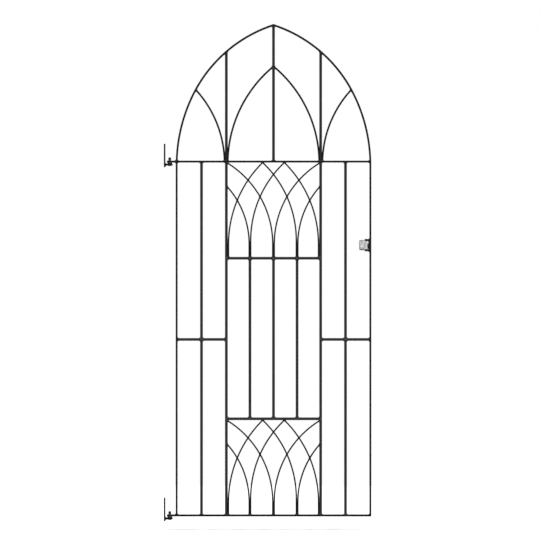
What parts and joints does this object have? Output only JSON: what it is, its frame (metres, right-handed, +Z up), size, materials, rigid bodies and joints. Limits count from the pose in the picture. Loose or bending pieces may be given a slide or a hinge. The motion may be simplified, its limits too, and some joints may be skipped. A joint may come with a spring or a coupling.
{
  "type": "garden gate with a pointed bow top",
  "caption": "Tall single garden gate of black coated steel bar, with a pointed arch top, two panels of crossing-arch tracery, a sprung latch and wall hooks.",
  "frame": {"origin": "middle of the lower wall plate's back face, on the wall, in the plane of the gate", "axes": "+Z up, +X from the wall along the closed gate to its latch stile, -Y the side the gate opens to, where the thumb plate of the latch faces"},
  "size_m": [0.8885, 0.0455, 2.1292],
  "materials": {
    "black_coated_steel": "satin black coat on mild steel bar",
    "bright_zinc": "bright zinc plate on pressed steel"
  },
  "bodies": {
    "wall_hooks": {"lower_wall_plate": "black_coated_steel", "lower_hook_pin": "black_coated_steel", "upper_wall_plate": "black_coated_steel", "upper_hook_pin": "black_coated_steel"},
    "gate_leaf": {"bottom_rail": "black_coated_steel", "top_rail": "black_coated_steel", "hinge_stile": "black_coated_steel", "latch_stile": "black_coated_steel", "left_inner_upright": "black_coated_steel", "right_inner_upright": "black_coated_steel", "left_side_rail": "black_coated_steel", "right_side_rail": "black_coated_steel", "left_lower_bar": "black_coated_steel", "left_upper_bar": "black_coated_steel", "right_lower_bar": "black_coated_steel", "right_upper_bar": "black_coated_steel", "lower_centre_rail": "black_coated_steel", "upper_centre_rail": "black_coated_steel", "left_centre_bar": "black_coated_steel", "middle_centre_bar": "black_coated_steel", "right_centre_bar": "black_coated_steel", "lower_tracery_front": "black_coated_steel", "lower_tracery_back": "black_coated_steel", "upper_tracery_front": "black_coated_steel", "upper_tracery_back": "black_coated_steel", "left_bow": "black_coated_steel", "right_bow": "black_coated_steel", "left_lancet_arch": "black_coated_steel", "right_lancet_arch": "black_coated_steel", "left_side_arch": "black_coated_steel", "right_side_arch": "black_coated_steel", "left_arch_bar": "black_coated_steel", "middle_arch_bar": "black_coated_steel", "right_arch_bar": "black_coated_steel", "latch_bracket": "black_coated_steel", "latch_pin": "bright_zinc"},
    "latch_lever": {"latch_lever": "bright_zinc"}
  },
  "joints": [
    {"name": "gate_swing", "type": "hinge", "parent": "wall_hooks", "child": "gate_leaf", "pos_m": [0.025, 0, 0], "axis": [0, 0, -1], "range_deg": [0, 90]},
    {"name": "latch_turn", "type": "hinge", "parent": "gate_leaf", "child": "latch_lever", "pos_m": [0.8675, 0, 1.132], "axis": [0, 0, 1], "range_deg": [0, 30], "stiffness_Nm_per_rad": 0.25, "springref_deg": -34.38}
  ]
}
